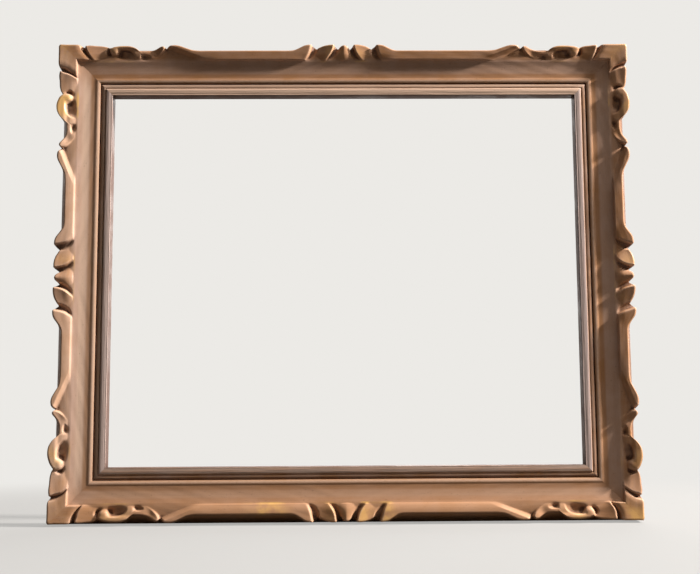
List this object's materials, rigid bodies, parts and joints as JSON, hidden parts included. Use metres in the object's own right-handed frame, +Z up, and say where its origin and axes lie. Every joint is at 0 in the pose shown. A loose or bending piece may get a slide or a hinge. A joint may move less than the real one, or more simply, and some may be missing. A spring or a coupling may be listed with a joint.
{
  "type": "picture frame",
  "caption": "Carved, bronzed wooden picture frame with scrolled corners and shell middles, an inner liner, turn buttons and hanging rings on the back.",
  "frame": {"origin": "middle of the opening, on the wall plane at the back of the rails", "axes": "+X to the right seen from the front, +Z up, +Y into the wall; the front faces -Y"},
  "size_m": [0.613, 0.0389, 0.5114],
  "materials": {
    "gilt_wood": "bronzed gilding, rubbed",
    "liner_wood": "pale bronzed paint, worn",
    "spline_wood": "raw hardwood",
    "hanger_brass": "dull brass plate",
    "button_steel": "dull zinc plate",
    "brad_steel": "bright wire",
    "screw_brass": "dull brass",
    "screw_steel": "dull zinc plate"
  },
  "bodies": {
    "frame": {"top_rail": "gilt_wood", "bottom_rail": "gilt_wood", "left_rail": "gilt_wood", "right_rail": "gilt_wood", "liner_top": "liner_wood", "liner_bottom": "liner_wood", "liner_left": "liner_wood", "liner_right": "liner_wood", "top_left_spline": "spline_wood", "top_right_spline": "spline_wood", "bottom_left_spline": "spline_wood", "bottom_right_spline": "spline_wood", "left_hanger": "hanger_brass", "right_hanger": "hanger_brass", "liner_brads": "brad_steel", "hanger_screws": "screw_brass", "turn_button_screws": "screw_steel"},
    "left_ring": {"left_ring": "hanger_brass"},
    "right_ring": {"right_ring": "hanger_brass"},
    "turn_button_upper_left": {"turn_button_upper_left": "button_steel"},
    "turn_button_upper_right": {"turn_button_upper_right": "button_steel"},
    "turn_button_lower_left": {"turn_button_lower_left": "button_steel"},
    "turn_button_lower_right": {"turn_button_lower_right": "button_steel"}
  },
  "joints": [
    {"name": "left_ring_swing", "type": "hinge", "parent": "frame", "child": "left_ring", "pos_m": [-0.2865, 0.0032, 0.085], "axis": [1, 0, 0], "range_deg": [0, 180]},
    {"name": "right_ring_swing", "type": "hinge", "parent": "frame", "child": "right_ring", "pos_m": [0.2865, 0.0032, 0.085], "axis": [1, 0, 0], "range_deg": [0, 180]},
    {"name": "turn_button_upper_left_turn", "type": "hinge", "parent": "frame", "child": "turn_button_upper_left", "pos_m": [-0.2725, 0.00105, 0.15], "axis": [0, 1, 0], "continuous": true},
    {"name": "turn_button_upper_right_turn", "type": "hinge", "parent": "frame", "child": "turn_button_upper_right", "pos_m": [0.2725, 0.00105, 0.15], "axis": [0, 1, 0], "continuous": true},
    {"name": "turn_button_lower_left_turn", "type": "hinge", "parent": "frame", "child": "turn_button_lower_left", "pos_m": [-0.2725, 0.00105, -0.15], "axis": [0, 1, 0], "continuous": true},
    {"name": "turn_button_lower_right_turn", "type": "hinge", "parent": "frame", "child": "turn_button_lower_right", "pos_m": [0.2725, 0.00105, -0.15], "axis": [0, 1, 0], "continuous": true}
  ]
}
